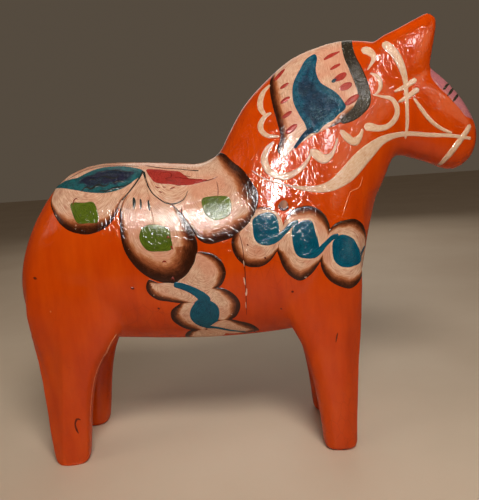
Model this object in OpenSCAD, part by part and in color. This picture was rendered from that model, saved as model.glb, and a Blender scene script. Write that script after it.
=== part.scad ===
// Dala horse: a large carved and painted pine horse.
// Its blank is glued up from six boards in three layers, pegged across, and then carved as one.
// +X is towards the nose, +Y is the horse's left, +Z is up. The origin is under its middle, on the table.

/* [Overall size] */
// Length from the rump to the nose
body_length = 372; // [300:1:450]
// Height from the soles to the ear tips
body_height = 335; // [270:1:400]
// Width over the legs
body_width = 97; // [80:1:120]

/* [Boards] */
// Thickness of the middle layer, which holds the head and the ears
core_thickness = 42; // [36:1:50]
// Where the front and rear boards of the middle layer meet, from the origin
core_seam_x = -22; // [-36:1:-14]
// Where the front and rear boards of both side layers meet, from the origin
side_seam_x = -6; // [-10:1:10]

/* [Legs] */
// Length of a sole along the horse
sole_length = 27; // [22:1:34]
// How far the edge round each sole is eased
sole_easing = 1.5; // [0.5:0.5:3]

/* [Ears] */
// Width of the notch that is cut between the two ears
ear_notch = 5; // [3:0.5:8]

/* [Pegs] */
// Diameter of the two pegs that cross all three layers
peg_diameter = 9; // [6:0.5:12]
// Room for glue all round a peg
glue_clearance = 0.1; // [0.05:0.05:0.3]
// How far the ends of a peg sit below the carved surface
peg_sink = 1; // [0.5:0.25:2]

/* [Smoothness] */
// Points around a section of the body
body_sides = 48; // [24:4:64]
// Points around a section of a leg or an ear
limb_sides = 28; // [16:4:40]
// Sections from one station to the next
steps = 2; // [1:1:3]

/* [Hidden] */

CORE_PAINT = "orangered";
SIDE_PAINT = "tomato";
BARE_WOOD = "burlywood";

RIGHT = -1;
LEFT = 1;

// The stations below are drawn for a horse of this size, and are stretched to the sizes above.
DRAWN_LENGTH = 372;
DRAWN_HEIGHT = 335;
DRAWN_HALF_WIDTH = 48.5;
DRAWN_CORE_HALF = 21;
DRAWN_SOLE = 27;
DRAWN_EAR = 18;
DRAWN_EAR_OUTER = 20.5;

core_half = core_thickness / 2;
body_half = body_width / 2;
beyond = body_length + body_height;     // past every side of the horse
blade = 0.01;                           // thickness of a section of an ear, before it is wrapped

// Ribs of the body, neck and head from the rump to the nose: x and z of the lower end,
// x and z of the upper end, half width, squareness, and how much narrower the upper end is.
BODY_RIBS = [
    [-186, 136, -185.5, 150,  9, 2.0, 0.00],
    [-184, 121,   -183, 167, 25, 2.1, 0.00],
    [-179, 108,   -173, 192, 37, 2.2, 0.00],
    [-165,  99,   -158, 215, 44, 2.3, 0.02],
    [-144,  96,   -140, 232, 47, 2.4, 0.04],
    [-114,  95,   -114, 238, 48, 2.5, 0.06],
    [ -80,  92,    -82, 237, 47, 2.5, 0.06],
    [ -45,  90,    -52, 234, 46, 2.5, 0.06],
    [ -12,  90,    -34, 233, 46, 2.5, 0.08],
    [  22,  92,    -20, 240, 46, 2.5, 0.12],
    [  52,  97,    -12, 253, 47, 2.5, 0.18],
    [  76, 109,      2, 275, 45, 2.5, 0.22],
    [  88, 130,     19, 292, 41, 2.5, 0.24],
    [  93, 151,     40, 308, 36, 2.5, 0.22],
    [  98, 174,     61, 316, 31, 2.5, 0.18],
    [ 105, 196,     80, 320, 26, 2.5, 0.12],
    [ 113, 214,     98, 319, 23, 2.6, 0.06],
    [ 121, 229,    115, 315, 20.5, 2.7, 0.03],
    [ 138, 225,    135, 306, 20, 2.8, 0.00],
    [ 152, 220,    152, 293, 19.5, 2.8, 0.00],
    [ 163, 215,    164, 282, 18.5, 2.7, 0.00],
    [ 172, 216,    174, 270, 17, 2.5, 0.00],
    [ 181, 223,    182, 256, 14, 2.3, 0.00],
    [ 185, 233,    186, 246,  7, 2.0, 0.00],
];

// Stations of a leg from the sole upwards: height, rear and front edges from the middle of
// the foot, and how far the outer face stands in from the full width.
REAR_LEG = [
    [  0, -13.5, 13.5, 0.5],
    [ 20, -15.5, 16.5, 0.0],
    [ 45, -16.5, 20.0, 0.0],
    [ 70, -18.0, 26.0, 0.0],
    [ 88, -20.0, 35.0, 0.0],
    [104, -23.0, 48.0, 0.0],
    [128, -23.0, 57.0, 0.5],
    [154, -20.0, 54.0, 1.5],
    [182, -12.0, 42.0, 6.0],
];
FRONT_LEG = [
    [  0, -13.5, 13.5, 0.5],
    [ 20, -15.0, 14.0, 0.0],
    [ 45, -18.0, 15.5, 0.0],
    [ 70, -23.0, 17.0, 0.0],
    [ 88, -28.0, 19.0, 0.0],
    [104, -36.0, 20.5, 0.5],
    [128, -44.0, 22.0, 1.0],
    [154, -42.0, 22.0, 2.5],
    [182, -32.0, 18.0, 8.0],
];
LEG_SQUARENESS = 2.6;
LEG_STEP = 0.3;                         // how far a leg stands clear of the middle layer
REAR_FOOT_X = -155.5;
FRONT_FOOT_X = 63.5;

// Stations of an ear from its root to its tip: x and z of the rear edge,
// x and z of the front edge, and thickness.
EAR = [
    [ 86, 298, 138, 276, 18.0],
    [ 98, 311, 146, 289, 18.0],
    [111, 320, 148, 299, 17.5],
    [124, 325, 150, 310, 16.0],
    [137, 331, 152, 321, 13.0],
    [146, 335, 153, 329,  8.0],
];
EAR_SQUARENESS = 2.4;

// Pegs in the side view: x, z, and the half width of the horse there.
SHOULDER_PEG = [28, 198, 44.3];
HAUNCH_PEG = [-128, 150, 47.6];

// ---- curves and scales ----

function catmull(a, b, c, d, t) =
    0.5 * (2 * b + (c - a) * t + (2 * a - 5 * b + 4 * c - d) * t * t + (3 * b - a - 3 * c + d) * t * t * t);

function station(rows, i) = rows[max(0, min(len(rows) - 1, i))];

// All stations in rows, with more in between them on a smooth curve.
function smooth(rows) = [
    for (i = [0 : len(rows) - 2], k = [0 : steps - 1])
        catmull(
            station(rows, i - 1), station(rows, i), station(rows, i + 1), station(rows, i + 2),
            k / steps
        ),
    rows[len(rows) - 1],
];

// One coordinate on a unit circle, pushed out towards a square: 2 is a true circle.
function squared(v, squareness) = sign(v) * pow(abs(v), 2 / squareness);

function outline(half_long, half_across, squareness, sides) = [
    for (i = [0 : sides - 1]) [
        squared(cos(360 * i / sides), squareness) * half_long,
        squared(sin(360 * i / sides), squareness) * half_across
    ]
];

function at_x(x) = x * body_length / DRAWN_LENGTH;
function at_z(z) = z * body_height / DRAWN_HEIGHT;

// A drawn half width, stretched with the layers that it lies in.
function at_y(y) =
    y <= DRAWN_CORE_HALF
        ? y * core_half / DRAWN_CORE_HALF
        : core_half + (y - DRAWN_CORE_HALF) * (body_half - core_half) / (DRAWN_HALF_WIDTH - DRAWN_CORE_HALF);

// ---- body, neck and head ----

function rib_ring(rib) =
    let (
        low = [at_x(rib[0]), 0, at_z(rib[1])],
        high = [at_x(rib[2]), 0, at_z(rib[3])]
    )
    [
        for (p = outline(1, 1, rib[5], body_sides))
            (low + high) / 2 + p[1] * (high - low) / 2 + [0, p[0] * at_y(rib[4]) * (1 - rib[6] * p[1]), 0]
    ];

// The skin over a row of rings that all have the same number of points.
module skin(rings) {
    sides = len(rings[0]);
    last = (len(rings) - 1) * sides;
    polyhedron(
        points = [for (r = rings) each r],
        faces = [
            [for (i = [0 : sides - 1]) i],
            for (k = [0 : len(rings) - 2], i = [0 : sides - 1])
                let (j = (i + 1) % sides, a = k * sides, b = a + sides)
                each [[a + i, b + i, a + j], [a + j, b + i, b + j]],
            [for (i = [sides - 1 : -1 : 0]) last + i],
        ],
        convexity = 6
    );
}

module body() {
    skin([for (rib = smooth(BODY_RIBS)) rib_ring(rib)]);
}

// ---- legs ----

// A level ring round a leg; eased is how far it is drawn in all round.
function leg_ring(place, foot_x, side, eased) =
    let (
        thicker = (sole_length - at_x(DRAWN_SOLE)) / 2 * (1 - place[0] / DRAWN_HEIGHT),
        rear_x = at_x(foot_x + place[1]) - thicker + eased,
        front_x = at_x(foot_x + place[2]) + thicker - eased,
        inner_y = core_half + LEG_STEP + eased,
        outer_y = at_y(DRAWN_HALF_WIDTH - max(0, place[3])) - eased,
        z = eased > 0 ? 0 : max(sole_easing, at_z(place[0]))
    )
    [
        for (p = outline((front_x - rear_x) / 2, (outer_y - inner_y) / 2, LEG_SQUARENESS, limb_sides))
            [(rear_x + front_x) / 2 + p[0], side * (inner_y + outer_y) / 2 + p[1], z]
    ];

module leg(stations, foot_x, side) {
    skin(concat(
        [leg_ring(stations[0], foot_x, side, sole_easing)],
        [for (place = smooth(stations)) leg_ring(place, foot_x, side, 0)]
    ));
}

// ---- ears ----

module ear_section(place, side) {
    rear = [at_x(place[0]), at_z(place[1])];
    front = [at_x(place[2]), at_z(place[3])];
    middle = (rear + front) / 2;
    lean = atan2(front[1] - rear[1], front[0] - rear[0]);
    inner_y = ear_notch / 2;
    outer_y = at_y(DRAWN_EAR_OUTER);
    half_across = (outer_y - inner_y) / 2 * place[4] / DRAWN_EAR;
    translate([middle[0], side * (inner_y + outer_y) / 2, middle[1]])
        rotate([0, -lean, 0])
            linear_extrude(blade)
                polygon(outline(norm(front - rear) / 2, half_across, EAR_SQUARENESS, limb_sides));
}

module ear(side) {
    for (i = [0 : len(EAR) - 2])
        hull() {
            ear_section(EAR[i], side);
            ear_section(EAR[i + 1], side);
        }
}

module carved_horse() {
    body();
    for (side = [RIGHT, LEFT]) {
        leg(REAR_LEG, REAR_FOOT_X, side);
        leg(FRONT_LEG, FRONT_FOOT_X, side);
        ear(side);
    }
}

// ---- boards and pegs ----

module peg(place, diameter, end_gap) {
    half = at_y(place[2]) - end_gap;
    translate([at_x(place[0]), 0, at_z(place[1])])
        rotate([90, 0, 0])
            cylinder(d = diameter, h = 2 * half, center = true, $fn = 48);
}

// The piece of the carved horse between two glue faces across it and two along it, bored for the pegs.
module board(rear_x, front_x, right_y, left_y) {
    difference() {
        intersection() {
            carved_horse();
            translate([rear_x, right_y, -beyond])
                cube([front_x - rear_x, left_y - right_y, 2 * beyond]);
        }
        for (place = [SHOULDER_PEG, HAUNCH_PEG])
            peg(place, peg_diameter + 2 * glue_clearance, -beyond);
    }
}

module core_front_board() {
    color(CORE_PAINT) board(core_seam_x, beyond, -core_half, core_half);
}

module core_rear_board() {
    color(CORE_PAINT) board(-beyond, core_seam_x, -core_half, core_half);
}

module right_front_board() {
    color(SIDE_PAINT) board(side_seam_x, beyond, -beyond, -core_half);
}

module right_rear_board() {
    color(SIDE_PAINT) board(-beyond, side_seam_x, -beyond, -core_half);
}

module left_front_board() {
    color(SIDE_PAINT) board(side_seam_x, beyond, core_half, beyond);
}

module left_rear_board() {
    color(SIDE_PAINT) board(-beyond, side_seam_x, core_half, beyond);
}

module shoulder_peg() {
    color(BARE_WOOD) peg(SHOULDER_PEG, peg_diameter, peg_sink);
}

module haunch_peg() {
    color(BARE_WOOD) peg(HAUNCH_PEG, peg_diameter, peg_sink);
}

core_front_board();
core_rear_board();
right_front_board();
right_rear_board();
left_front_board();
left_rear_board();
shoulder_peg();
haunch_peg();
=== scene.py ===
"""A large carved dala horse: orange painted pine, with a painted saddle, girth, mane and bridle."""
import math

import bmesh
import bpy
from mathutils import Matrix, Vector
from mathutils.bvhtree import BVHTree


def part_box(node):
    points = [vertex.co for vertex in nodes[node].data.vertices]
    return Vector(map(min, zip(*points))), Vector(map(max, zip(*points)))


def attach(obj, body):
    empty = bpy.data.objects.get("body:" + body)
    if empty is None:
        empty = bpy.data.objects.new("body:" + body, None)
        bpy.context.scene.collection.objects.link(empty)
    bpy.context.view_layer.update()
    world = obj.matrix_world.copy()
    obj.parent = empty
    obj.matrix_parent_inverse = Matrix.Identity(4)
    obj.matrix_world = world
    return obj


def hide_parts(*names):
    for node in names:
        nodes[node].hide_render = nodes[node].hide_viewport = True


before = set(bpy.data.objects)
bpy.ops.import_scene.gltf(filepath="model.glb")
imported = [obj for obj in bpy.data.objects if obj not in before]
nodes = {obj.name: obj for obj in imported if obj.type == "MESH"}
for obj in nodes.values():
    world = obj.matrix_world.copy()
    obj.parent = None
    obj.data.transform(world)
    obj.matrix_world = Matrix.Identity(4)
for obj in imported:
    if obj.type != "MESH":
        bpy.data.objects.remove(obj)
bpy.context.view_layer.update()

MM = 0.001

BOARDS = [
    "core_front_board", "core_rear_board",
    "right_front_board", "right_rear_board",
    "left_front_board", "left_rear_board",
]
PEGS = ["shoulder_peg", "haunch_peg"]

CORE_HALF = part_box("core_front_board")[1].y
CORE_SEAM_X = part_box("core_front_board")[0].x
SIDE_SEAM_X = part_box("right_front_board")[0].x

RIGHT = -1
LEFT = 1


def link(obj):
    bpy.context.scene.collection.objects.link(obj)
    return obj


def ease(t):
    t = min(1.0, max(0.0, t))
    return t * t * (3 - 2 * t)


# ---- camera, table and light ----

CAMERA_PLACE = Vector((-1.5, -460.6, 237.0)) * MM
# Degrees of yaw, pitch and roll, and the quarter turn up from looking straight down.
CAMERA_TURNS = ((0.88, "Z"), (-9.5, "X"), (3.96, "Y"), (90, "X"))


def set_up_camera():
    data = bpy.data.cameras.new("camera")
    data.lens = 40.32
    data.sensor_width = 36
    data.clip_start = 0.01
    data.clip_end = 20
    camera = link(bpy.data.objects.new("camera", data))
    camera.location = CAMERA_PLACE
    facing = Matrix.Identity(3)
    for degrees, axis in CAMERA_TURNS:
        facing = facing @ Matrix.Rotation(math.radians(degrees), 3, axis)
    camera.rotation_euler = facing.to_euler()
    bpy.context.scene.camera = camera


def lay_table(material):
    bm = bmesh.new()
    bmesh.ops.create_grid(bm, x_segments=1, y_segments=1, size=4)
    mesh = bpy.data.meshes.new("table")
    bm.to_mesh(mesh)
    bm.free()
    mesh.materials.append(material)
    table = link(bpy.data.objects.new("table", mesh))


def soft_box(name, place, aim, size, power, tint):
    data = bpy.data.lights.new(name, "AREA")
    data.shape = "RECTANGLE"
    data.size, data.size_y = size
    data.energy = power
    data.color = tint
    lamp = link(bpy.data.objects.new(name, data))
    lamp.location = place
    lamp.rotation_euler = (Vector(aim) - Vector(place)).to_track_quat("-Z", "Y").to_euler()
    return lamp


def light_studio():
    """Soft boxes that light the paint, and narrow ones that are only seen in the varnish."""
    warm = (1, 0.93, 0.84)
    lamp = soft_box("lamp", (0.1, -0.57, 0.76), (0.02, 0, 0.18), (0.25, 0.25), 5.6, warm)
    lamp.visible_glossy = False
    soft_box("left_light", (-0.95, -0.5, 0.75), (-0.05, 0, 0.15), (0.5, 0.5), 1.6, (1, 0.9, 0.76))
    soft_box("back_light", (0.1, 1.15, 0.75), (0, 0, 0.15), (0.9, 0.9), 3.4, warm)
    white = (1, 0.97, 0.93)
    for glare in (
        soft_box("shoulder_glare", (0.015, -0.76, 0.49), (0.03, 0, 0.22), (0.08, 0.28), 11, white),
        soft_box("saddle_glare", (-0.06, -0.74, 0.5), (-0.01, 0, 0.2), (0.035, 0.16), 1.7, white),
        soft_box("ear_glare", (0.4, -0.72, 0.55), (0.12, 0, 0.28), (0.12, 0.12), 1.9, white),
        soft_box("wall_sheen", (0.9, -0.72, 0.53), (0.1, 0, 0.25), (0.8, 0.34), 2.6, (1, 0.8, 0.42)),
    ):
        glare.visible_diffuse = False
    world = bpy.data.worlds.new("room")
    world.use_nodes = True
    backdrop = world.node_tree.nodes["Background"]
    backdrop.inputs["Color"].default_value = (0.9, 0.7, 0.5, 1)
    backdrop.inputs["Strength"].default_value = 0.1
    bpy.context.scene.world = world


# ---- finishes ----

def colour(red, green, blue):
    """A paint tin's colour, 0 to 255, as the linear values that a shader wants."""
    def linear(c):
        c /= 255
        return c / 12.92 if c <= 0.04045 else ((c + 0.055) / 1.055) ** 2.4
    return (linear(red), linear(green), linear(blue), 1)


class Finish:
    """A paint or wood finish, built up node by node."""

    def __init__(self, name, roughness, coat):
        self.material = bpy.data.materials.new(name)
        self.material.use_nodes = True
        self.tree = self.material.node_tree
        self.shader = self.tree.nodes["Principled BSDF"]
        self.varnished = coat > 0
        self.shader.inputs["Roughness"].default_value = roughness
        self.shader.inputs["Coat Weight"].default_value = coat
        self.shader.inputs["Coat Roughness"].default_value = 0.05
        self.shader.inputs["Coat IOR"].default_value = 1.5
        self.shader.inputs["Specular IOR Level"].default_value = 0.0 if self.varnished else 0.4
        self.place = self.add("ShaderNodeTexCoord").outputs["Object"]

    def plug(self, socket, value):
        """Links a socket to another node's, or sets its value."""
        if isinstance(value, bpy.types.NodeSocket):
            self.tree.links.new(value, socket)
        else:
            socket.default_value = value

    def add(self, kind, inputs=None, **settings):
        node = self.tree.nodes.new(kind)
        for key, value in settings.items():
            setattr(node, key, value)
        for key, value in (inputs or {}).items():
            self.plug(node.inputs[key], value)
        return node

    def stretched(self, scale, source=None):
        inputs = {"Vector": source or self.place, "Scale": scale}
        return self.add("ShaderNodeMapping", inputs).outputs["Vector"]

    def along_stroke(self, *scale):
        """The way that the brush went, along and across, stretched by these scales."""
        uv = self.add("ShaderNodeUVMap", uv_map="stroke").outputs["UV"]
        return self.stretched((*scale, 1), uv)

    def attribute(self, name):
        return self.add("ShaderNodeAttribute", attribute_name=name).outputs["Fac"]

    def noise(self, scale, detail=3, roughness=0.5, source=None):
        inputs = {"Vector": source or self.place, "Scale": scale, "Detail": detail, "Roughness": roughness}
        return self.add("ShaderNodeTexNoise", inputs).outputs["Fac"]

    def crackle(self, scale, stretch):
        """How far each point is from the nearest line of a crazed pattern."""
        inputs = {"Vector": self.stretched(stretch), "Scale": scale}
        node = self.add("ShaderNodeTexVoronoi", inputs, feature="DISTANCE_TO_EDGE")
        return node.outputs["Distance"]

    def range(self, value, low, high, to_low=0.0, to_high=1.0):
        inputs = {"Value": value, "From Min": low, "From Max": high, "To Min": to_low, "To Max": to_high}
        return self.add("ShaderNodeMapRange", inputs).outputs["Result"]

    def reckon(self, operation, a, b):
        node = self.add("ShaderNodeMath", {0: a, 1: b}, operation=operation)
        return node.outputs[0]

    def sum(self, a, b):
        return self.reckon("ADD", a, b)

    def less(self, a, b):
        return self.reckon("SUBTRACT", a, b)

    def times(self, a, b):
        return self.reckon("MULTIPLY", a, b)

    def mix(self, share, first, second):
        node = self.add("ShaderNodeMix", data_type="RGBA")
        for socket, value in ((node.inputs[0], share), (node.inputs[6], first), (node.inputs[7], second)):
            self.plug(socket, value)
        return node.outputs[2]

    def shades(self, value, *stops):
        node = self.add("ShaderNodeValToRGB", {"Fac": value})
        ramp = node.color_ramp
        while len(ramp.elements) < len(stops):
            ramp.elements.new(0.5)
        for element, (position, tone) in zip(ramp.elements, stops):
            element.position = position
            element.color = tone
        return node.outputs["Color"]

    def bump(self, height, depth, strength, under=None):
        inputs = {"Height": height, "Distance": depth, "Strength": strength}
        if under is not None:
            inputs["Normal"] = under
        return self.add("ShaderNodeBump", inputs).outputs["Normal"]

    def varnish(self, under):
        """Adds the fine crazing of old varnish on top of a bumped normal."""
        lines = self.range(self.crackle(330, (1, 1, 0.6)), 0.0, 0.09)
        ripple = self.noise(70, 3, 0.55, self.stretched((1.5, 1.5, 0.4)))
        return self.bump(self.sum(self.times(lines, 0.45), ripple), 0.0005, 0.26, under)

    def paint(self, tone, normal, roughness=None):
        self.plug(self.shader.inputs["Base Color"], tone)
        self.plug(self.shader.inputs["Normal"], normal)
        if self.varnished:
            self.plug(self.shader.inputs["Coat Normal"], self.varnish(normal))
        if roughness is not None:
            self.plug(self.shader.inputs["Roughness"], roughness)
        return self.material


class BrushedPaint(Finish):
    """A varnished paint with streaks along its stroke, and ridges where the bristles ran."""

    def __init__(self, name, along, across):
        super().__init__(name, 0.36, 0.5)
        self.streaks = self.noise(1.0, 4, 0.6, self.along_stroke(along, across))
        self.patches = self.noise(120, 4, 0.6)
        self.height = self.sum(self.times(self.streaks, 0.8), self.times(self.patches, 0.4))

    def streaked(self, light, dark):
        share = self.sum(self.times(self.streaks, 0.75), self.times(self.patches, 0.25))
        return self.shades(share, (0.38, dark), (0.6, light))


def orange_paint():
    f = Finish("orange_paint", 0.4, 0.5)
    strokes = f.noise(60, 4, 0.6, f.stretched((1.6, 1.6, 0.35)))
    clouds = f.noise(14, 3, 0.5)
    fine = f.noise(900, 2, 0.6)
    tone = f.shades(
        f.sum(f.range(strokes, 0.3, 0.7, 0, 0.55), f.range(clouds, 0.3, 0.7, 0, 0.45)),
        (0.0, colour(178, 52, 0)), (0.5, colour(196, 64, 0)), (1.0, colour(208, 76, 4)),
    )
    worn = f.range(f.times(f.attribute("arris"), f.noise(220, 4, 0.65)), 0.36, 0.5)
    tone = f.mix(f.times(worn, 0.6), tone, colour(224, 120, 52))
    chips = f.range(f.noise(85, 5, 0.75), 0.735, 0.75)
    tone = f.mix(chips, tone, colour(92, 24, 10))
    lines = f.range(f.crackle(160, (1, 1, 0.45)), 0.0, 0.03, 1, 0)
    cracks = f.times(lines, f.range(f.noise(22, 2), 0.5, 0.62))
    tone = f.mix(f.times(cracks, 0.28), tone, colour(120, 34, 8))
    height = f.sum(f.times(strokes, 0.5), f.times(fine, 0.12))
    height = f.less(height, f.times(chips, 0.5))
    height = f.less(height, f.times(cracks, 0.35))
    return f.paint(tone, f.bump(height, 0.0006, 0.4), f.range(clouds, 0.3, 0.7, 0.26, 0.42))


def bare_wood(name, light, middle, dark):
    f = Finish(name, 0.62, 0.0)
    rings = f.add(
        "ShaderNodeTexWave",
        {"Vector": f.stretched((1, 1, 0.08)), "Scale": 55.0, "Distortion": 4.0, "Detail": 3.0},
        bands_direction="X",
    ).outputs["Fac"]
    fibre = f.noise(380, 3, 0.6, f.stretched((1, 1, 0.05)))
    grain = f.sum(f.times(rings, 0.7), f.times(fibre, 0.3))
    tone = f.shades(grain, (0.0, light), (0.55, middle), (1.0, dark))
    return f.paint(tone, f.bump(fibre, 0.0004, 0.5))


def brush_paint(name, light, dark, along, across, relief=0.0004):
    f = BrushedPaint(name, along, across)
    return f.paint(f.streaked(light, dark), f.bump(f.height, relief, 0.7))


def leaf_paint(name, rim, middle, scuffed):
    """Thick paint, darker towards the middle, with ragged light drags across it."""
    f = BrushedPaint(name, 4, 14)
    drift = f.sum(f.attribute("shade"), f.range(f.noise(90, 4, 0.65), 0.3, 0.7, -0.45, 0.45))
    tone = f.mix(f.range(drift, 0.2, 0.6), middle, rim)
    drags = f.noise(1.0, 4, 0.75, f.along_stroke(1.2, 22))
    where = f.range(f.noise(70, 2), 0.48, 0.62)
    tone = f.mix(f.times(f.range(drags, 0.52, 0.66), where), tone, scuffed)
    ridges = f.range(f.noise(260, 4, 0.7), 0.45, 0.62)
    tone = f.mix(f.times(ridges, 0.45), tone, (0.004, 0.008, 0.02, 1))
    return f.paint(tone, f.bump(f.sum(f.height, ridges), 0.0007, 0.9))


def shaded_petal_paint():
    """Pale ground that is blended into dark brown at its shaded rim."""
    f = BrushedPaint("petal_paint", 1.0, 13)
    pale = f.streaked(colour(226, 192, 166), colour(182, 124, 98))
    blush = f.range(f.noise(45, 3, 0.5), 0.46, 0.62, 0, 0.5)
    pale = f.mix(blush, pale, colour(206, 132, 104))
    drag = f.noise(1.0, 4, 0.7, f.along_stroke(1.5, 3))
    grain = f.noise(1.0, 3, 0.6, f.along_stroke(2, 26))
    shade = f.sum(f.attribute("shade"), f.range(drag, 0.3, 0.7, -0.12, 0.12))
    shade = f.sum(shade, f.range(grain, 0.3, 0.7, -0.07, 0.07))
    rim = f.shades(
        shade,
        (0.1, colour(214, 164, 132)), (0.3, colour(188, 124, 86)), (0.52, colour(146, 80, 46)),
        (0.76, colour(92, 44, 22)), (0.94, colour(48, 20, 8)),
    )
    tone = f.mix(f.range(shade, 0.04, 0.34), pale, rim)
    hairs = f.range(f.crackle(120, (1.4, 1.4, 0.5)), 0.0, 0.03, 1, 0)
    cracked = f.times(hairs, f.range(f.noise(40, 2), 0.5, 0.62))
    tone = f.mix(f.times(cracked, 0.35), tone, colour(120, 66, 40))
    flecks = f.range(f.noise(150, 4, 0.7), 0.68, 0.71)
    tone = f.mix(f.times(flecks, 0.5), tone, colour(238, 214, 190))
    return f.paint(tone, f.bump(f.height, 0.0004, 0.25))


def peg_end_paint():
    f = BrushedPaint("peg_end_paint", 8, 8)
    shade = f.sum(f.attribute("shade"), f.range(f.noise(500, 3), 0.3, 0.7, -0.2, 0.2))
    tone = f.shades(shade, (0.2, colour(182, 112, 68)), (0.6, colour(96, 44, 20)), (0.9, colour(30, 10, 4)))
    return f.paint(tone, f.bump(f.height, 0.0004, 0.8))


def worn_black_paint():
    f = BrushedPaint("black_paint", 6, 30)
    specks = f.range(f.noise(520, 3, 0.7), 0.56, 0.66)
    black = f.streaked(colour(58, 50, 38), colour(30, 26, 22))
    tone = f.mix(f.times(specks, 0.75), black, colour(128, 128, 112))
    return f.paint(tone, f.bump(f.sum(f.height, specks), 0.0005, 0.8))


def pale_table():
    f = Finish("pale_table", 0.6, 0.0)
    tone = f.shades(f.noise(6, 4), (0.3, colour(198, 180, 160)), (0.7, colour(206, 190, 171)))
    return f.paint(tone, f.bump(f.noise(400, 2), 0.0002, 0.3))


ORANGE = orange_paint()
PINE = bare_wood("bare_pine", colour(214, 178, 122), colour(200, 154, 96), colour(158, 104, 56))
PEG_WOOD = bare_wood("peg_wood", colour(168, 108, 66), colour(142, 86, 50), colour(98, 54, 30))
PETAL = shaded_petal_paint()
TEAL = brush_paint("teal_paint", colour(2, 92, 116), colour(0, 54, 80), 1.6, 16, 0.0002)
MANE_BLUE = leaf_paint("mane_leaf_paint", colour(10, 86, 114), colour(8, 56, 84), colour(104, 150, 152))
SADDLE_BLUE = leaf_paint("saddle_leaf_paint", colour(26, 96, 104), colour(26, 30, 58), colour(60, 110, 110))
GREEN = brush_paint("green_paint", colour(94, 112, 30), colour(60, 78, 14), 1.4, 14, 0.00015)
RED = brush_paint("red_paint", colour(178, 62, 52), colour(132, 34, 30), 3, 14)
CREAM = brush_paint("cream_paint", colour(224, 196, 170), colour(204, 156, 124), 3, 14)
DARK_RED = brush_paint("dark_red_paint", colour(150, 44, 30), colour(96, 24, 20), 3, 14)
WOUND = brush_paint("chip_paint", colour(112, 32, 12), colour(66, 16, 8), 5, 20)
BROWN_LINE = brush_paint("line_paint", colour(44, 48, 44), colour(22, 24, 24), 4, 8)
BLACK = worn_black_paint()
# Light orange for the scratches, and for the painted highlight along the hind leg's worn inner edge.
WORN_AND_HIGHLIGHT_ORANGE = brush_paint("worn_orange_and_edge_highlight", colour(228, 146, 96), colour(206, 104, 50), 5, 20)
PEG_END = peg_end_paint()
# Pale mauve, painted in as the reflection that the grazing front facet of the face shows.
FACE_REFLECTION_MAUVE = brush_paint("face_reflection_paint", colour(192, 118, 116), colour(158, 92, 110), 4, 14)


# ---- the carved wood ----

SKIN_CELL = 1.5 * MM
CARVED_SOFT = 12          # times that the carving is softened before the knife facets
FACETS_SOFT = 2           # and after them


def glued_blank():
    """All the boards and pegs as one closed skin of small, even faces."""
    bm = bmesh.new()
    for name in BOARDS + PEGS:
        bm.from_mesh(nodes[name].data)
    bmesh.ops.remove_doubles(bm, verts=bm.verts, dist=0.00001)
    mesh = bpy.data.meshes.new("blank")
    bm.to_mesh(mesh)
    bm.free()
    blank = link(bpy.data.objects.new("blank", mesh))
    remesh = blank.modifiers.new("skin", "REMESH")
    remesh.mode = "VOXEL"
    remesh.voxel_size = SKIN_CELL
    view = bpy.context.evaluated_depsgraph_get()
    skin = bpy.data.meshes.new_from_object(blank.evaluated_get(view))
    bpy.data.objects.remove(blank)
    return skin


def soften(bm, times):
    for _ in range(times):
        bmesh.ops.smooth_vert(
            bm, verts=bm.verts, factor=0.5, use_axis_x=True, use_axis_y=True, use_axis_z=True,
        )
    bm.normal_update()


def mark_arrises(bm):
    """Notes how sharp the surface is at each point, for the wear along its edges."""
    bm.normal_update()
    sharpness = bm.verts.layers.float.new("arris")
    for vert in bm.verts:
        others = [edge.other_vert(vert).co for edge in vert.link_edges]
        middle = sum(others, Vector()) / len(others)
        spacing = sum((co - vert.co).length for co in others) / len(others)
        vert[sharpness] = min(1.0, max(0.0, (vert.co - middle).dot(vert.normal) / spacing * 4))


# Knife facets: a point on each in millimetres, the way it faces, and the x and z limits of the cut.
FACETS = [
    ((-152, -48.4, 60), (-0.5, -0.86, 0.02), (-190, -120), (0, 125)),
    ((-150, -48.6, 92), (0.14, -0.98, -0.07), (-190, -110), (0, 108)),
    ((69, -48, 60), (0.62, -0.78, 0), (20, 110), (0, 130)),
    ((40, -48, 60), (-0.62, -0.78, 0), (20, 110), (0, 100)),
    ((83, -40.5, 125), (0.86, -0.5, 0), (20, 110), (100, 205)),
    ((-60, -43, 100), (0, -0.62, -0.78), (-100, 20), (60, 118)),
]
DEEPEST_CUT = 5 * MM
REACH_OF_KNIFE = 9 * MM         # wood that stands further out is another part of the horse
FADE_BELOW_TOP = 32 * MM        # the cut runs out over this height, so that no ledge is left
FADE_AT_FOOT = 4 * MM
FOOT_OVERRUN = 3 * MM
# Small dents: where, how wide and how deep, in millimetres.
DENTS = [((26.7, -43.5, 198.2), 4.6, 0.6), ((105, -20, 301), 3.2, 0.5), ((64, -48, 149), 2, 0.4)]


def plane_facets(bm):
    """Shaves whatever stands proud of each facet, on both sides alike."""
    for place, facing, (back, ahead), (low, high) in FACETS:
        for side in (RIGHT, LEFT):
            point = Vector((place[0], -side * place[1], place[2])) * MM
            outward = Vector((facing[0], -side * facing[1], facing[2])).normalized()
            for vert in bm.verts:
                x, y, z = vert.co
                if y * side < 0 or not (low * MM < z < high * MM and back * MM < x < ahead * MM):
                    continue
                proud = (vert.co - point).dot(outward)
                up = (z - low * MM + FOOT_OVERRUN) / FADE_AT_FOOT
                down = (high * MM - z) / FADE_BELOW_TOP
                if 0 < proud < REACH_OF_KNIFE and vert.normal.dot(outward) > 0.4:
                    vert.co -= outward * min(proud, DEEPEST_CUT) * min(1.0, up, down)


def press_dents(bm):
    for place, width, depth in DENTS:
        middle = Vector(place) * MM
        for vert in bm.verts:
            away = (vert.co - middle).length / (width * MM)
            if away < 1:
                vert.co -= vert.normal * depth * MM * (1 - away ** 4)


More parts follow.
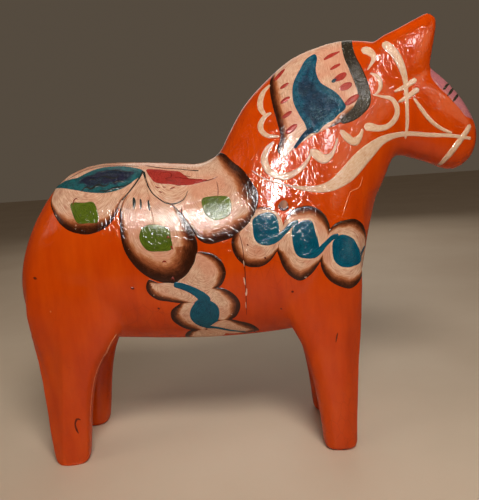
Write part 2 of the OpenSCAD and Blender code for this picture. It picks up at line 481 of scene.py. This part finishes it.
def carve():
    bm = bmesh.new()
    bm.from_mesh(glued_blank())
    soften(bm, CARVED_SOFT)
    plane_facets(bm)
    soften(bm, FACETS_SOFT)
    press_dents(bm)
    mark_arrises(bm)
    for face in bm.faces:
        face.smooth = True
    return bm


def saw_board(whole, name):
    """The part of the whole skin that belongs to one board, closed along its glue faces."""
    bm = whole.copy()
    if name.startswith("core"):
        cuts = [((0, CORE_HALF, 0), (0, 1, 0)), ((0, -CORE_HALF, 0), (0, -1, 0))]
        seam = CORE_SEAM_X
    else:
        side = LEFT if name.startswith("left") else RIGHT
        cuts = [((0, side * CORE_HALF, 0), (0, -side, 0))]
        seam = SIDE_SEAM_X
    cuts.append(((seam, 0, 0), (-1, 0, 0) if "front" in name else (1, 0, 0)))
    for point, outward in cuts:
        bmesh.ops.bisect_plane(
            bm, geom=bm.verts[:] + bm.edges[:] + bm.faces[:], dist=1e-7,
            plane_co=point, plane_no=outward, clear_outer=True,
        )
        open_edges = [edge for edge in bm.edges if edge.is_boundary]
        glue_faces = bmesh.ops.holes_fill(bm, edges=open_edges, sides=0)["faces"]
        for face in glue_faces:
            face.material_index = 1
            for edge in face.edges:
                edge.smooth = False
    return bm


def saw_and_paint_boards(whole):
    for name in BOARDS:
        bm = saw_board(whole, name)
        mesh = bpy.data.meshes.new(name.replace("board", "carving"))
        bm.to_mesh(mesh)
        bm.free()
        piece = link(bpy.data.objects.new(mesh.name, mesh))
        mesh.materials.append(ORANGE)
        mesh.materials.append(PINE)
        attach(piece, "root")
        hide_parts(name)
    for name in PEGS:
        nodes[name].data.materials[0] = PEG_WOOD


# ---- painting on the carved wood ----

# All in millimetres.
CELL = 1.2    # width of a film's faces
FILM = 0.4                      # thickness of a film
TUCK = -0.05                    # lift of a film's edge, which ends just under the wood's surface
PLY = 0.012                     # each outline or stroke of a coat lies this much over the one before it
SHEET_AWAY = 500                # a sheet is held this far out before it is pressed on
MISS_LOOKS_FROM = 460           # what misses the wood goes to the wood nearest to this far along its way
PAST_MIDDLE = 0.08              # least lift of a film where its pattern folds over the horse's middle
UV_UNIT = 10                    # length of a stroke that makes one unit of its UV map


def through(points, closed, step):
    """Evenly spaced points, step apart, on a smooth curve through all of these."""
    count = len(points)
    fine = []
    for i in range(count if closed else count - 1):
        a, b, c, d = (
            Vector(points[(i + k) % count] if closed else points[min(count - 1, max(0, i + k))])
            for k in (-1, 0, 1, 2)
        )
        for k in range(12):
            t = k / 12
            bend = (2 * a - 5 * b + 4 * c - d) * t ** 2 + (3 * b - a - 3 * c + d) * t ** 3
            fine.append(0.5 * (2 * b + (c - a) * t + bend))
    fine.append(Vector(points[0] if closed else points[-1]))
    travelled = [0.0]
    for p, q in zip(fine, fine[1:]):
        travelled.append(travelled[-1] + (q.xy - p.xy).length)
    length = travelled[-1]
    steps = max(4, round(length / step))
    even = []
    i = 0
    for k in range(steps + 1):
        want = length * k / steps
        while i < len(fine) - 2 and travelled[i + 1] < want:
            i += 1
        gap = travelled[i + 1] - travelled[i]
        even.append(fine[i].lerp(fine[i + 1], (want - travelled[i]) / gap if gap else 0))
    return even, length


def swollen(outline, by):
    """The same outline, grown outward all round."""
    middle = sum((Vector(p) for p in outline), Vector((0, 0))) / len(outline)
    grown = []
    for p in outline:
        away = Vector(p) - middle
        grown.append(tuple(middle + away * (1 + by / away.length)))
    return grown


def shaded(outline, margin):
    """The same outline, with a shaded margin of one width all round."""
    return [(*point, margin) for point in outline]


class Tracing:
    """A flat sheet that a pattern is drawn on, in millimetres, and then pressed straight onto the wood."""

    def __init__(self, facing):
        self.facing = Vector(facing).normalized()
        self.along = Vector((0, 0, 1)).cross(self.facing).normalized()
        self.up = self.facing.cross(self.along)

    def outward(self, side):
        """The way the sheet faces on one side of the horse: the left is the right's mirror image."""
        return Vector((self.facing.x, -side * self.facing.y, self.facing.z))

    def press(self, u, v, lift, side):
        start = (self.along * u + self.up * v + self.facing * SHEET_AWAY) * MM
        if side == LEFT:
            start.y = -start.y
        ray = -self.outward(side)
        hit, normal, _, _ = WOOD.ray_cast(start, ray)
        if hit is None:
            hit, normal, _, _ = WOOD.find_nearest(start + ray * MISS_LOOKS_FROM * MM)
        if self.facing.y and hit.y * side < 0:
            hit, normal, _, _ = WOOD.find_nearest(Vector((hit.x, 0, hit.z)))
            lift = max(lift, PAST_MIDDLE)
        return hit + normal * lift * MM


SIDE_SHEET = Tracing((0, -1, 0))                      # upright, along the side
SADDLE_SHEET = Tracing((0, -0.6, 0.8))                # slanting over the back
NECK_SHEET = Tracing((-0.3, -0.8, 0.52))              # leaning on the neck
FACE_SHEET = Tracing((0.8, 0, 0.6))                   # against the front of the face
CHEST_SHEET = Tracing((1, 0, 0))                      # upright, against the chest


class PaintCoat:
    """One coat of one colour on one side of the horse, as a thin closed film over the wood."""

    def __init__(self, name, side, material, sheet, lift):
        self.name = name
        self.side = side
        self.material = material
        self.sheet = sheet
        self.lift = lift
        self.bm = bmesh.new()
        self.uv = self.bm.loops.layers.uv.new("stroke")
        self.shade = self.bm.verts.layers.float.new("shade")
        self.plies = 0

    def lay(self, across, along, place):
        """Adds a grid of faces. place(a, b) gives (u, v, lift, shade, UV) for a and b from 0 to 1."""
        made = bmesh.ops.create_grid(self.bm, x_segments=across, y_segments=along, size=1)["verts"]
        spots = {}
        for vert in made:
            a = (vert.co.x + 1) / 2
            b = (vert.co.y + 1) / 2
            u, v, lift, shade, uv = place(a, b)
            spots[vert] = uv
            vert[self.shade] = shade
            vert.co = self.sheet.press(u, v, lift + PLY * self.plies, self.side)
        faces = list({face for vert in made for face in vert.link_faces})
        for face in faces:
            face.normal_update()
        outward = self.sheet.outward(self.side)
        if sum(face.normal.dot(outward) * face.calc_area() for face in faces) < 0:
            bmesh.ops.reverse_faces(self.bm, faces=faces)
        for face in faces:
            face.smooth = True
            for loop in face.loops:
                loop[self.uv].uv = spots[loop.vert]
        self.plies += 1

    def stroke(self, points):
        """A brush stroke along points of (u, v, width), round at both ends."""
        path, length = through(points, False, CELL)
        widest = max(p[2] for p in points)
        steps = len(path) - 1

        def place(a, b):
            i = min(steps, round(a * steps))
            here = path[i]
            heading = (path[min(steps, i + 1)].xy - path[max(0, i - 1)].xy).normalized()
            width = here[2]
            for from_end in (a * length, (1 - a) * length):
                run = from_end / (0.5 * width + 1e-6)
                if run < 1:
                    width *= math.sqrt(max(0.0, 1 - (1 - run) ** 2))
            spot = here.xy + Vector((-heading.y, heading.x)) * (b - 0.5) * width
            from_rim = 1 - abs(2 * b - 1)
            edge = b in (0, 1) or a in (0, 1)
            lift = TUCK if edge else self.lift * (0.8 + 0.2 * min(1, from_rim * 2))
            return spot.x, spot.y, lift, 0.0, (a * length / UV_UNIT, (b - 0.5) * widest / UV_UNIT)

        self.lay(steps, max(3, round(widest / CELL)), place)

    def patch(self, outline, centre=None):
        """A filled shape inside outline points of (u, v) or (u, v, shaded margin)."""
        outline = [p if len(p) == 3 else (*p, 0) for p in outline]
        rim, length = through(outline, True, CELL)
        if centre is None:
            centre = sum((p.xy for p in rim), Vector((0, 0))) / len(rim)
        centre = Vector(centre)
        steps = len(rim) - 1
        reach = max((p.xy - centre).length for p in rim)

        def place(a, b):
            edge_point = rim[min(steps, round(a * steps))]
            spot = centre.lerp(edge_point.xy, b)
            nearest = min(rim, key=lambda p: (p.xy - spot).length_squared)
            inside = (nearest.xy - spot).length
            margin = nearest[2]
            shade = 1 - ease((inside - 0.1 * margin) / (1.6 * margin)) if margin > 0.2 else 0.0
            lift = TUCK if b == 1 else self.lift
            return spot.x, spot.y, lift, shade, (a * length / UV_UNIT, (1 - b) * reach / UV_UNIT)

        self.lay(steps, max(3, round(reach / CELL)), place)

    def dry(self):
        bmesh.ops.remove_doubles(self.bm, verts=self.bm.verts, dist=0.000001)
        self.bm.normal_update()
        mesh = bpy.data.meshes.new(self.name)
        self.bm.to_mesh(mesh)
        self.bm.free()
        mesh.materials.append(self.material)
        piece = link(bpy.data.objects.new(self.name, mesh))
        body = piece.modifiers.new("film", "SOLIDIFY")
        body.thickness = FILM * MM
        body.offset = -1
        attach(piece, "root")


def paint_coat(name, side, material, sheet, lift, patches, strokes):
    coat = PaintCoat(name, side, material, sheet, lift)
    for outline in patches:
        # The mane's leaf is bent, so it is filled from a middle of its own.
        coat.patch(outline, MANE_LEAF_MIDDLE if outline is MANE_LEAF else None)
    for points in strokes:
        coat.stroke(points)
    coat.dry()


# ---- the pattern, in millimetres on each sheet; a third number is a shaded margin or a stroke's width ----

# Saddle: on the saddle sheet.
SADDLE_GROUNDS = [
    [(-100, 150, 0), (-84, 152, 0), (-58, 152, 0), (-30, 150, 0), (-29, 112, 0), (-38, 99, 0),
     (-48, 88, 0), (-60, 86, 0), (-78, 84, 0), (-92, 86, 0), (-101, 96, 0), (-103, 112, 0)],
    [(-151, 119, 1), (-151, 103, 1.5), (-147, 92, 3), (-142, 84, 5), (-136, 79, 6), (-128, 76, 7),
     (-119, 75, 7), (-109, 77, 6), (-102, 81, 4), (-97, 87, 3), (-94, 93, 2), (-87, 101, 1),
     (-81, 112, 0), (-79, 124, 0), (-80, 140, 0), (-84, 152, 0), (-99, 153, 0), (-115, 153, 0),
     (-128, 152, 0), (-141, 148, 0.5), (-149, 136, 0.5)],
    [(-78, 126, 0), (-74, 140, 0), (-60, 150, 0), (-42, 150, 0), (-32, 140, 0), (-30, 112, 0),
     (-39, 101, 0), (-45, 95, 0), (-53, 91, 0), (-61, 91, 0), (-67, 95, 0), (-73, 102, 0),
     (-76, 110, 0)],
    [(-78, 116, 0), (-87, 102, 0.5), (-94, 93, 1.5), (-96, 84, 3), (-96, 74, 5), (-94, 66, 6),
     (-88, 59, 7), (-80, 54, 8), (-70, 51, 8), (-60, 50, 9), (-51, 52, 12), (-45, 56, 14),
     (-40, 63, 14), (-39, 69, 12), (-42, 76, 9), (-48, 84, 5), (-55, 91, 2), (-65, 96, 0),
     (-73, 103, 0), (-76, 110, 0)],
    [(-24, 154, 3), (-20, 140, 3), (-10, 119, 6), (-1, 108, 8), (5, 99, 11), (9, 92, 12), (8, 86, 8),
     (5, 80, 5), (-2, 75, 6), (-11, 71, 7), (-21, 69, 7), (-30, 68, 6), (-37, 70, 5), (-42, 75, 3),
     (-48, 82, 2), (-50, 89, 1), (-46, 95, 0), (-41, 103, 0), (-38, 112, 0), (-38, 130, 0),
     (-36, 148, 1)],
]
SADDLE_BLUE_LEAF = shaded([
    (-151, 121), (-140, 117), (-130, 118), (-122, 123), (-114, 127), (-105, 129), (-93, 128),
    (-79, 122), (-79, 115), (-85, 109), (-91, 104), (-99, 101), (-109, 100), (-121, 102), (-134, 107),
    (-144, 113),
], 6)
SADDLE_RED_LEAF = [
    (-77, 122), (-69, 123), (-59, 121), (-51, 120), (-46, 115), (-41, 111), (-28, 109), (-38, 106),
    (-46, 105), (-57, 106), (-67, 107), (-72, 111),
]
SADDLE_GREENS = [
    [(-133, 96), (-123, 95), (-114, 94), (-111, 82), (-120, 81), (-128, 82), (-132, 89)],
    [(-80, 78), (-72, 80), (-60, 78), (-58, 73), (-58, 66), (-69, 65), (-78, 66), (-83, 72)],
    [(-34, 95), (-24, 96), (-13, 94), (-11, 87), (-14, 82), (-24, 80), (-31, 83), (-34, 88)],
]
SADDLE_DASHES = [
    [(-85, 97, 1.5), (-84.5, 93, 3.4), (-85, 88, 1)],
    [(-80, 96, 1), (-79.5, 92, 2.2), (-80, 88, 1)],
    [(-74, 95, 1), (-73.5, 91, 2.6), (-73, 87, 1)],
]
SADDLE_LINES = [
    [(-78.5, 121, 3), (-81, 112, 1.8), (-87, 102, 1.5), (-94, 94, 1.1)],
    [(-78, 120, 3), (-75.5, 109, 1.8), (-72, 101, 1.2), (-67, 96, 1.2), (-60, 92, 1.2), (-53, 92, 1.2),
     (-47, 95, 1), (-44, 101, 0.7)],
    [(-139, 120, 0.8), (-129, 126, 1.1), (-119, 130, 1.1), (-104, 131, 1.1), (-82, 127, 1)],
    [(-78, 129, 1.2), (-66, 125, 1.4), (-50, 123, 1.4), (-35, 120, 1.8)],
]
SADDLE_RED_SCRIBBLE = [
    [(-67, 114, 0.6), (-64, 118, 1.5), (-58, 118, 1.7), (-56.5, 113.5, 1.7), (-61, 111.5, 1.4),
     (-57, 109.5, 1.2), (-52, 110, 0.6)],
    [(-51, 117, 0.6), (-46, 114.5, 1.2), (-41, 113, 0.5)],
]
SADDLE_FLECKS = [
    [(-69, 105, 0.5), (-67, 103.6, 1.5), (-64.6, 103.4, 0.5)],
    [(-63.6, 104.6, 0.4), (-62, 103.8, 1.2), (-60, 104, 0.4)],
    [(-66, 101, 0.4), (-64.6, 100, 1.2), (-63, 100, 0.4)],
    [(-58, 102, 0.5), (-56, 103, 1.4), (-53, 104, 0.5)],
    [(-54, 106, 0.4), (-51, 105.4, 1.3), (-48, 105.6, 0.5)],
    [(-62, 71, 0.4), (-60.6, 73, 1.6), (-59, 71, 0.6)],
    [(-60, 68, 0.4), (-58.4, 67.4, 1.4), (-57.6, 65.8, 0.4)],
    [(-61, 51.5, 0.4), (-59.6, 53, 1.4), (-58.6, 51, 0.5)],
    [(-67, 60, 0.3), (-65, 60.6, 1), (-63, 60, 0.3)],
    [(-131, 93, 0.3), (-130, 97.6, 1), (-127, 98.8, 0.4)],
]
SADDLE_BLACK_SCRIBBLE = [
    [(-125, 103, 1), (-121, 106.5, 2.6), (-117, 104.5, 3), (-112, 107.5, 3.2), (-107, 105.5, 2.6),
     (-103, 108.5, 1.2)],
    [(-114, 112, 0.8), (-108, 115, 2.4), (-101, 112.5, 2.8), (-96, 114.5, 1.2)],
    [(-111, 102.5, 0.8), (-105, 101.8, 2.2), (-99, 104, 2.8), (-93, 104.6, 2.2), (-86, 108.5, 0.8)],
    [(-102, 107.5, 0.8), (-97, 109.5, 2.2), (-91, 109, 1)],
    [(-121, 111, 0.8), (-117, 113.4, 2), (-113, 111, 0.8)],
    [(-112, 120, 0.5), (-104, 122, 1.2), (-95, 120, 1.4), (-87, 119, 0.6)],
]

# Girth, breast strap and bridle: on the side sheet.
GIRTH_LOBES = [
    [(-61, 146, 0), (-71, 147, 1), (-78, 150, 4), (-81, 144, 6), (-79, 138, 5.5), (-73, 133, 5),
     (-65, 131, 4), (-56, 129, 3), (-45, 129, 0), (-40, 134, 0), (-47, 142, 0)],
    [(-40, 168, 1), (-33, 168, 4), (-26, 165, 5), (-21, 159, 5.5), (-19, 151, 5.5), (-22, 143, 5),
     (-27, 139, 3), (-36, 136, 0), (-47, 138, 0), (-57, 145, 0), (-50, 152, 0), (-43, 160, 0)],
    [(-52, 130, 1), (-58, 128, 4), (-64, 123, 7), (-64, 115, 7), (-57, 107, 6), (-49, 103, 5),
     (-40, 101, 2), (-34, 113, 0), (-38, 126, 0)],
    [(-34, 139, 0), (-25, 140, 3), (-18, 137, 5), (-12, 131, 6), (-10, 124, 7), (-13, 116, 6),
     (-18, 112, 4), (-25, 110, 2), (-36, 118, 0), (-42, 130, 0)],
    [(-57, 96, 5), (-53, 103, 5), (-45, 104, 1), (-36, 103, 0), (-24, 101, 0), (-27, 94, 0),
     (-41, 92, 0), (-52, 92, 3)],
    [(-38, 107, 0), (-23, 113, 1), (-11, 110, 4), (-2, 106, 6), (3, 99, 6), (-6, 96, 3), (-20, 97, 0),
     (-34, 101, 0)],
]
GIRTH_TEAL = [
    (-41, 132), (-32, 130), (-27, 125), (-26, 119), (-28, 112), (-34, 107), (-39, 105), (-46, 109),
    (-50, 115), (-50, 121), (-47, 127),
]
GIRTH_STEMS = [
    [(-60, 144.5, 4.6), (-54, 143, 5.6), (-46, 139, 6.4), (-39, 133.5, 8.5), (-35, 127, 13)],
    [(-40, 107, 5), (-30, 105, 3.4), (-19, 101, 3), (-7, 98, 1.5)],
]
BREAST_LOBES = [
    [(3, 196, 0), (-6, 189, 2), (-11, 181, 4), (-14, 174, 5), (-13, 166, 5.5), (-9, 159, 6),
     (-2, 154, 6), (7, 153.5, 6), (14, 157, 4), (20, 164, 2), (24, 171, 0), (26, 179, 0), (25, 190, 0),
     (18, 197, 2), (10, 199, 2)],
    [(26, 186, 1), (32, 194, 4), (39, 197, 6), (48, 197, 6), (56, 192, 6), (60, 185, 5), (61, 178, 3),
     (59, 169, 0), (55, 159, 1), (49, 150, 4), (43, 144, 6), (36, 141, 7), (29, 145, 7), (24, 152, 6),
     (21, 161, 5), (20, 167, 2), (23, 176, 0)],
    [(60, 178, 2), (66, 183, 4), (74, 184.5, 5), (82, 184, 6), (89, 178, 6), (92, 168, 2), (91, 156, 0),
     (89, 146, 1), (83, 137, 5), (75, 132, 7), (67, 134, 7), (59, 139, 6), (54, 146, 5), (52, 154, 3),
     (54, 163, 0), (57, 171, 0)],
]
BREAST_TEALS = [
    [(3, 190), (9, 194), (17, 195), (22, 191), (23.5, 182), (22, 175), (17, 171), (11, 169.5), (6, 171),
     (3, 176), (2.5, 184)],
    [(32, 182), (37, 186), (43, 187.5), (48, 186), (50, 178), (52, 170), (52, 163), (48, 159),
     (43, 157.5), (37, 158.5), (33, 163), (31.5, 172)],
    [(62, 170), (67, 174), (72, 174), (79, 170), (83, 163), (86, 156), (83, 151), (77, 148), (71, 148),
     (66, 150), (62, 155), (61, 163)],
]
BREAST_LINKS = [
    [(7, 172, 3), (14, 172.5, 7), (21, 175, 6), (27, 179.5, 4.2), (32, 184, 4.6), (38, 186.5, 3)],
    [(38, 160, 3), (46, 160.5, 7), (52, 163.5, 6), (57, 168, 4.2), (63, 172.5, 4.4), (68, 173.5, 3)],
    [(75, 150, 3), (81, 152, 6), (86, 155.5, 4), (91, 161, 1.8)],
]
REIN = [
    (5, 226, 0.9), (13, 220, 0.9), (22, 216, 1), (33, 212.5, 1.6), (44, 210, 3.6), (55, 209, 6),
    (65, 211, 9), (77, 218, 13), (87, 227, 13.5), (97, 235, 11), (107, 241.5, 7), (118, 244.5, 4.5),
    (129, 245, 3.8), (145, 243, 3.4), (160, 241.5, 3), (178, 238, 2.4),
]
BRIDLE = [
    [(110, 314, 6), (114, 310, 7), (119, 304, 7), (123, 296, 6), (126, 286, 4.6), (126.5, 276, 3.6),
     (127, 263, 3), (127, 252, 2.8), (126, 241, 1.6)],
    [(117, 277, 1.4), (125, 280, 4), (135, 285.5, 4.4)],
    [(120, 269, 1.4), (128, 273, 4), (136.5, 278.5, 4.6)],
    [(132, 272, 1.8), (138, 263, 3), (144, 255, 3.2), (152, 248, 2.8), (162, 243, 2)],
    [(177, 249, 4), (173, 243, 4.4), (168, 237, 4.8), (162, 229, 4.8), (157, 222, 4), (155, 218, 2)],
]

# Mane: on the neck sheet, with the cheek's scrolls on the side sheet.
MANE_PANEL = [
    (79, 298, 0), (66, 300, 0), (55, 296, 0), (44, 286, 0), (34, 272, 1), (27, 257, 3), (27, 243, 6),
    (31, 226, 6), (35, 213, 6), (38, 201, 5), (36, 191, 4), (42, 187, 0), (49, 195, 0), (59, 203, 0),
    (69, 210, 0), (78, 216, 3), (86, 224, 4), (93, 233, 2), (93, 241, 0), (89, 250, 0), (84, 265, 0),
]
MANE_STRIPE = [
    (79, 302, 8), (81, 292, 8.4), (83, 279, 9), (86, 267, 9.5), (91, 257, 10), (95, 247, 10),
    (96, 238, 10), (92, 230, 8), (86, 223, 6), (80, 218, 3),
]
MANE_LEAF = shaded([
    (60, 270), (54, 265), (50, 255), (46, 244), (45.5, 235), (47, 227), (51, 219), (55, 213), (58, 207),
    (64, 207), (69, 213), (75, 218), (79, 223), (84, 229), (82, 234), (77, 239), (71, 242), (66, 245),
    (63, 251), (62, 258), (62.5, 265),
], 5)
MANE_LEAF_MIDDLE = (59, 236)
MANE_LEAF_TAIL = [(62, 211, 6), (55, 204, 4), (48, 194, 2)]
MANE_RED = [
    [(67, 263, 1.6), (72, 267.5, 4.6), (79, 272, 1.4)],
    [(72, 255, 1.4), (76, 258.5, 4), (80, 261.5, 1.4)],
    [(75, 247, 2.6), (80, 251, 5.8), (84, 255, 2.4)],
    [(79, 241, 2.6), (83.5, 244.5, 5.8), (88, 248, 2.4)],
    [(83, 231, 2.4), (88, 236, 5), (93, 241, 2)],
    [(30.5, 247, 2.6), (34, 252.5, 5), (38, 258, 2)],
    [(36, 239, 2), (39.5, 241.5, 3.6), (43, 244, 1.6)],
    [(37, 227, 2), (41, 230, 4), (44.5, 232.5, 1.6)],
    [(39, 215.5, 1.8), (42.5, 218.5, 3.4), (46, 221.5, 1.6)],
    [(42, 204, 2.2), (46, 208, 4.4), (50, 212, 2)],
]
MANE_DOT = [(73.5, 245.5, 2.4), (75.5, 247.5, 3.4), (77.5, 249.5, 2)]
MANE_SCROLLS = [
    [(28, 245, 2.6), (23, 240, 5.4), (21, 233, 6), (22, 224, 5), (27, 217, 2.4)],
    [(31, 220, 2), (26, 217, 4), (23, 211, 5.2), (24, 206, 4.8), (29, 202, 3.6), (38, 202, 1.6)],
    [(34, 198, 1.8), (29, 192, 4.4), (27, 185, 5.6), (29, 178, 5.6), (34, 174, 5), (41, 173, 5),
     (49, 177, 4), (55, 183, 3), (59, 190, 2), (60, 195, 1.2)],
    [(59, 195, 3), (63, 192.5, 7), (68, 190, 7.4), (73, 193, 3.6), (76, 199, 1.8), (78, 207, 1.2)],
    [(80, 213, 3), (84, 209, 6), (89, 207, 5.6), (93, 212, 3), (95, 218, 1.6)],
]
SIDE_SCROLLS = [
    [(92, 252, 6), (97, 252, 7), (104, 250.5, 5.4), (111, 251.5, 4.8), (116, 255, 4.8), (119, 260, 4.6),
     (119, 266, 4.4), (115, 272, 3.4), (108, 274, 2.2), (100, 276, 1)],
    [(94, 309.5, 5), (99, 309, 7), (103, 304, 4.6), (101, 299, 2.6), (97, 294, 1.2)],
    [(99, 292, 1.4), (105, 289, 3.4), (107, 283, 3.8), (105, 278, 2.6), (101, 275, 1)],
]

# A painted reflection across the front of the face, pale mauve where its grazing facet mirrors the room,
# and the nose dashes: on the face sheet. The middle lobe of the breast strap: on the chest sheet.
FACE_REFLECTION_BAND = [
    (0, 149), (-9, 148), (-16, 143), (-17.6, 132), (-17.4, 120), (-16.8, 108), (-15.6, 99), (-9, 91),
    (0, 90), (9, 91), (15.6, 99), (16.8, 108), (17.4, 120), (17.6, 132), (16, 143), (9, 148),
]
NOSE_DASHES = [
    [(-17.6, 127, 2.4), (-14, 128, 3.8), (-8, 127, 1.4)],
    [(-17.6, 121.5, 2.4), (-14, 122.5, 3.8), (-7, 122, 1.4)],
    [(-17.4, 115.5, 2.4), (-14, 116.5, 3.6), (-8, 116, 1.4)],
]
CHEST_LOBE = [
    (-17, 172, 3), (-8, 182, 5), (0, 184, 5.5), (8, 182, 5), (17, 172, 3), (20, 160, 2), (17, 146, 4),
    (9, 136, 6), (0, 133, 7), (-9, 136, 6), (-17, 146, 4), (-20, 160, 2),
]
CHEST_TEAL = [(-9, 170), (0, 174), (9, 170), (12, 160), (9, 151), (0, 147), (-9, 151), (-12, 160)]

# Old age: drying cracks, chips and scratches, and a painted highlight along the hind leg's worn inner edge,
# on the right side only.
FLANK_CRACK = [(-9, 184, 0.3), (-6, 174, 0.7), (-5, 160, 0.8), (-5, 140, 0.9), (-6, 115, 0.4)]
SADDLE_CRACKS = [
    [(-22, 107, 0.4), (-21, 100, 1), (-22, 92, 0.6)],
    [(-34, 108, 0.8), (-27, 108.5, 1.4), (-20, 110, 0.4)],
]
CRACK_CHIPS = [
    [(-6.2, 147, 0.6), (-5.6, 143, 1.4), (-5.4, 140, 0.5)],
    [(-4.4, 138, 0.6), (-5, 134, 1.6), (-5.4, 131, 0.5)],
    [(-6, 127, 0.4), (-5.8, 124, 0.9), (-6, 121, 0.3)],
    [(-5.6, 160, 0.4), (-5.2, 157, 0.9), (-5, 154, 0.3)],
]
SPECKS = [
    [(-92.5, 144.4, 0.8), (-91, 144, 2.2), (-89, 143.2, 0.8)],
    [(29, 133.4, 1), (30, 133, 2), (31.2, 132.6, 1)],
    [(-74, 126.6, 0.6), (-73, 126, 1.6), (-72, 125.2, 0.6)],
    [(-166.5, 156.4, 0.8), (-165, 156, 2.2), (-163, 155.4, 0.8)],
    [(-143, 38.6, 0.6), (-146, 40, 1.8), (-148, 36, 1.2), (-147.6, 31, 1.6), (-146.4, 27, 0.6)],
    [(63, 99, 0.4), (62, 96, 1.2), (61, 91, 0.5)],
    [(20.4, 120, 0.5), (21, 119, 1.3), (22, 118.6, 0.5)],
    [(10, 161, 0.5), (11, 160.4, 1.6), (12, 160, 0.5)],
    [(-2, 172, 0.4), (-1.6, 171, 1.2), (-1, 170, 0.4)],
]
SCRATCHES = [
    [(89, 216, 0.4), (88, 211, 0.7), (85, 207, 0.7), (79, 205, 0.6), (77, 202, 0.7), (74, 195, 0.7),
     (71, 187, 0.5)],
    [(106, 300, 0.8), (108, 303, 1.2), (107.5, 306, 0.7)],
    [(-155.6, 130.4, 0.8), (-155, 130, 1.6), (-154.2, 129.6, 0.8)],
]
# A lighter line along the hind leg's inner arris: edge wear, with a painted highlight where the edge
# catches the light.
WORN_AND_LIT_EDGE = [
    (-108, 107, 0.5), (-114, 99, 0.9), (-120, 88, 0.9), (-126, 76, 0.9), (-131, 60, 0.9),
    (-133, 44, 0.7), (-133.5, 32, 0.5),
]
PEG_HOLE = [
    (22.6, 198, 2), (24, 200.6, 1.6), (27, 201.8, 1.4), (30, 200.8, 1.6), (31.4, 198, 2),
    (30, 195.4, 2.6), (27, 194.4, 3), (24, 195.6, 2.6),
]


# ---- the coats, in the order they are laid ----

# Each is a name, its paint, its sheet, its lift in millimetres, its filled outlines and its strokes.
SIDE_COATS = [
    ("saddle_ground", PETAL, SADDLE_SHEET, 0.08, SADDLE_GROUNDS, []),
    ("saddle_blue_leaf", SADDLE_BLUE, SADDLE_SHEET, 0.18, [SADDLE_BLUE_LEAF], []),
    ("saddle_red_leaf", RED, SADDLE_SHEET, 0.18, [SADDLE_RED_LEAF], []),
    ("saddle_green_marks", GREEN, SADDLE_SHEET, 0.18, SADDLE_GREENS, []),
    ("saddle_lines", BROWN_LINE, SADDLE_SHEET, 0.24, [], SADDLE_LINES + SADDLE_DASHES),
    ("saddle_black_scribble", BROWN_LINE, SADDLE_SHEET, 0.3, [], SADDLE_BLACK_SCRIBBLE),
    ("saddle_red_flecks", DARK_RED, SADDLE_SHEET, 0.26, [], SADDLE_RED_SCRIBBLE + SADDLE_FLECKS),
    ("girth_ground", PETAL, SIDE_SHEET, 0.08, GIRTH_LOBES, []),
    ("girth_teal", TEAL, SIDE_SHEET, 0.2, [GIRTH_TEAL], GIRTH_STEMS),
    ("breast_strap_ground", PETAL, SIDE_SHEET, 0.08, BREAST_LOBES, []),
    ("breast_strap_halo", CREAM, SIDE_SHEET, 0.13, [swollen(outline, 1.7) for outline in BREAST_TEALS], []),
    ("breast_strap_teal", TEAL, SIDE_SHEET, 0.2, BREAST_TEALS, BREAST_LINKS),
    ("mane_ground", PETAL, NECK_SHEET, 0.08, [MANE_PANEL], []),
    ("mane_stripe", BLACK, NECK_SHEET, 0.2, [], [MANE_STRIPE]),
    ("mane_leaf", MANE_BLUE, NECK_SHEET, 0.2, [MANE_LEAF], [MANE_LEAF_TAIL, MANE_DOT]),
    ("mane_red_marks", RED, NECK_SHEET, 0.17, [], MANE_RED),
    ("mane_scrolls", CREAM, NECK_SHEET, 0.13, [], MANE_SCROLLS),
    ("cheek_scrolls", CREAM, SIDE_SHEET, 0.13, [], SIDE_SCROLLS),
    ("nose_dashes", BLACK, FACE_SHEET, 0.2, [], NOSE_DASHES),
    ("bridle", CREAM, SIDE_SHEET, 0.17, [], [REIN] + BRIDLE),
]
FRONT_COATS = [
    # Painted reflection across the face front.
    ("blaze", FACE_REFLECTION_MAUVE, FACE_SHEET, 0.1, [FACE_REFLECTION_BAND], []),
    ("chest_lobe", PETAL, CHEST_SHEET, 0.06, [CHEST_LOBE], []),
    ("chest_teal", TEAL, CHEST_SHEET, 0.18, [CHEST_TEAL], []),
]
WEAR_AND_EDGE_HIGHLIGHT_COATS = [
    ("drying_crack", WOUND, SIDE_SHEET, 0.22, [], [FLANK_CRACK]),
    ("saddle_cracks", WOUND, SADDLE_SHEET, 0.22, [], SADDLE_CRACKS),
    ("crack_chips", CREAM, SIDE_SHEET, 0.22, [], CRACK_CHIPS),
    ("chips", WOUND, SIDE_SHEET, 0.22, [], SPECKS),
    # Scratches, and the painted highlight along the hind leg's worn inner edge.
    ("scratches", WORN_AND_HIGHLIGHT_ORANGE, SIDE_SHEET, 0.22, [], SCRATCHES + [WORN_AND_LIT_EDGE]),
    ("peg_hole", PEG_END, SIDE_SHEET, 0.1, [PEG_HOLE], []),
]


whole = carve()
WOOD = BVHTree.FromBMesh(whole)
saw_and_paint_boards(whole)
for side, hand in ((RIGHT, "right_"), (LEFT, "left_")):
    for name, *coat in SIDE_COATS:
        paint_coat(hand + name, side, *coat)
for name, *coat in FRONT_COATS + WEAR_AND_EDGE_HIGHLIGHT_COATS:
    paint_coat(name, RIGHT, *coat)

set_up_camera()
lay_table(pale_table())
light_studio()
bpy.context.scene.view_settings.view_transform = "Standard"
